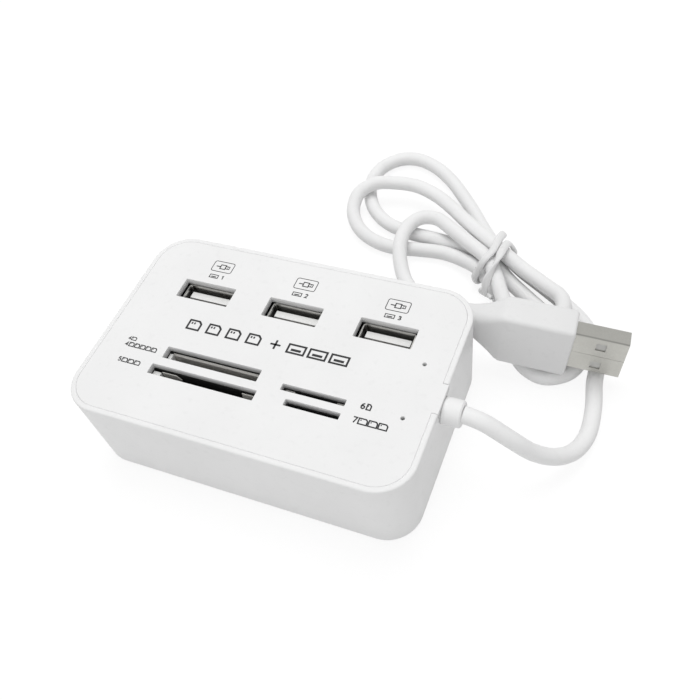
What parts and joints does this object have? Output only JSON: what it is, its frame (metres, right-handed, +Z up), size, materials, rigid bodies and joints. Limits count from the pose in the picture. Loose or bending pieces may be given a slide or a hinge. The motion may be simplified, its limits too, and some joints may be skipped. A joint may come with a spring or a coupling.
{
  "type": "usb hub card reader combo",
  "caption": "White desktop hub and card reader with upright ports and card slots in an inset top cover, and a captive lead, looped and tied, that ends in a flat plug.",
  "frame": {"origin": "centre of the body at the surface that its feet stand on", "axes": "+X to the right along the row of ports, towards the side where the lead leaves; +Y to the back; +Z up"},
  "size_m": [0.119, 0.1257, 0.0253],
  "materials": {
    "shell_plastic": "satin",
    "cover_plastic": "satin",
    "board": "satin",
    "socket_metal": "satin",
    "plug_metal": "satin",
    "tongue_plastic": "satin",
    "contact_gold": "bright",
    "holder_plastic": "matte",
    "shield_metal": "satin",
    "chip_black": "matte",
    "can_metal": "satin",
    "resistor": "matte",
    "lamp_lens": "gloss",
    "screw_steel": "satin",
    "foot_rubber": "matte",
    "gland_plastic": "satin",
    "wire_sleeve": "satin",
    "cord_jacket": "satin",
    "tie_jacket": "gloss",
    "grip_plastic": "satin"
  },
  "bodies": {
    "root": {"base_shell": "shell_plastic", "top_cover": "cover_plastic", "circuit_board": "board", "usb_shell_1": "socket_metal", "usb_shell_2": "socket_metal", "usb_shell_3": "socket_metal", "usb_tongue_1": "tongue_plastic", "usb_tongue_2": "tongue_plastic", "usb_tongue_3": "tongue_plastic", "usb_contacts_1": "contact_gold", "usb_contacts_2": "contact_gold", "usb_contacts_3": "contact_gold", "wide_card_holder": "holder_plastic", "wide_card_shield": "shield_metal", "wide_card_contacts": "contact_gold", "wide_card_posts": "tongue_plastic", "card_switches": "shield_metal", "small_card_holder": "holder_plastic", "small_card_guides": "shield_metal", "small_card_contacts": "contact_gold", "hub_chip": "chip_black", "reader_chip": "chip_black", "crystal": "can_metal", "capacitors": "can_metal", "chip_resistors": "resistor", "lamps": "lamp_lens", "case_screws": "screw_steel", "board_screws": "screw_steel", "foot_1": "foot_rubber", "foot_2": "foot_rubber", "foot_3": "foot_rubber", "foot_4": "foot_rubber", "cord_gland": "gland_plastic", "inner_wires": "wire_sleeve", "cord": "cord_jacket", "cord_tie": "tie_jacket", "plug_grip": "grip_plastic", "plug_shell": "plug_metal", "plug_insert": "tongue_plastic", "plug_contacts": "contact_gold"}
  },
  "joints": []
}
